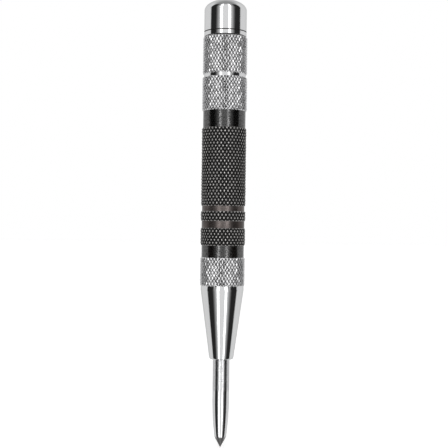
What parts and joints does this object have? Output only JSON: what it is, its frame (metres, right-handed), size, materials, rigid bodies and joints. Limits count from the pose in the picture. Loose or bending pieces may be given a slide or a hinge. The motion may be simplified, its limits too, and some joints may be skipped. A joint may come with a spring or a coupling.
{
  "type": "automatic center punch",
  "caption": "Spring-loaded automatic center punch: knurled black barrel, chromed nose cone and screw-down adjusting cap, with a sliding steel point and its trip mechanism inside.",
  "frame": {"origin": "the tip of the point, with the point fully out", "axes": "+Z along the tool's axis from the tip to the cap; the trip pin leans towards +X"},
  "size_m": [0.0131, 0.013, 0.13],
  "materials": {
    "chrome_plate": "bright chrome plate over turned and knurled steel",
    "black_oxide": "black, glossy on the turned bands, worn bright on the knurl's crests",
    "point_steel": "bright plated hardened steel with a ground tip",
    "tool_steel": "turned, hardened and lightly oiled",
    "spring_steel": "drawn spring wire, lightly oiled"
  },
  "bodies": {
    "housing": {"barrel": "black_oxide", "nose_cone": "chrome_plate", "trip_spring": "spring_steel", "main_spring": "spring_steel"},
    "plunger": {"point": "point_steel", "point_holder": "tool_steel"},
    "pin": {"trip_pin": "tool_steel"},
    "striker": {"hammer": "tool_steel"},
    "seat": {"spring_seat": "tool_steel"},
    "cap": {"adjusting_cap": "chrome_plate"}
  },
  "joints": [
    {"name": "point_slide", "type": "slide", "parent": "housing", "child": "plunger", "axis": [0, 0, 1], "range_m": [0, 0.009], "stiffness_N_per_m": 300, "springref_m": -0.008, "deforming": ["trip_spring", "main_spring"]},
    {"name": "pin_tilt", "type": "hinge", "parent": "plunger", "child": "pin", "pos_m": [0, 0, 0.048], "axis": [0, -1, 0], "range_deg": [0, 2.2]},
    {"name": "hammer_lift", "type": "slide", "parent": "housing", "child": "striker", "axis": [0, 0, 1], "range_m": [0, 0.009], "stiffness_N_per_m": 2000, "springref_m": -0.006},
    {"name": "cap_travel", "type": "slide", "parent": "housing", "child": "seat", "axis": [0, 0, 1], "range_m": [0, 0.0045], "deforming": ["main_spring"]},
    {"name": "cap_turn", "type": "hinge", "parent": "seat", "child": "cap", "pos_m": [0, 0, 0.11], "axis": [0, 0, 1], "range_deg": [0, 2160]}
  ],
  "couplings": [
    {"joint": "pin_tilt", "follows": "point_slide", "rad_per_m": 4.266},
    {"joint": "hammer_lift", "follows": "point_slide", "ratio": 1},
    {"joint": "cap_travel", "follows": "cap_turn", "m_per_rad": 0.00011937}
  ]
}
